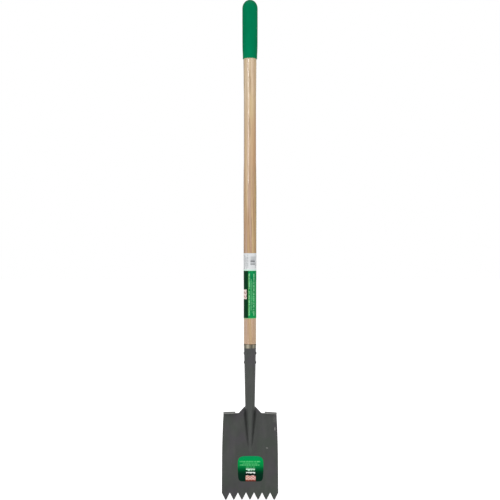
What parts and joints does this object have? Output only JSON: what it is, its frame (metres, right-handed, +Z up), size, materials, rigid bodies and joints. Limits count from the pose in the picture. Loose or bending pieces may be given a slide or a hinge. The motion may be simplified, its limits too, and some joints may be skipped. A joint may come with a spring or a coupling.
{
  "type": "toothed long-handled spade",
  "caption": "Narrow steel spade with a toothed cutting edge, foot treads and a raised middle ridge, riveted to a long straight wooden handle with an end sleeve.",
  "frame": {"origin": "on the ground under the middle of the spade, with the tooth tips at z = 0", "axes": "+Z up the handle to the domed end, +X to the right across the blade, and -Y is the hollow front of the blade that carries its label"},
  "size_m": [0.1674, 0.0634, 1.489],
  "materials": {
    "blade_paint": "satin",
    "rivet_paint": "satin",
    "handle_wood": "satin",
    "grip_vinyl": "satin",
    "green_label": "satin",
    "white_label": "satin"
  },
  "bodies": {
    "root": {"blade_and_socket": "blade_paint", "handle_shaft": "handle_wood", "end_grip": "grip_vinyl", "upper_rivet": "rivet_paint", "lower_rivet": "rivet_paint", "handle_label": "green_label", "barcode_label": "white_label", "blade_label": "green_label"}
  },
  "joints": []
}
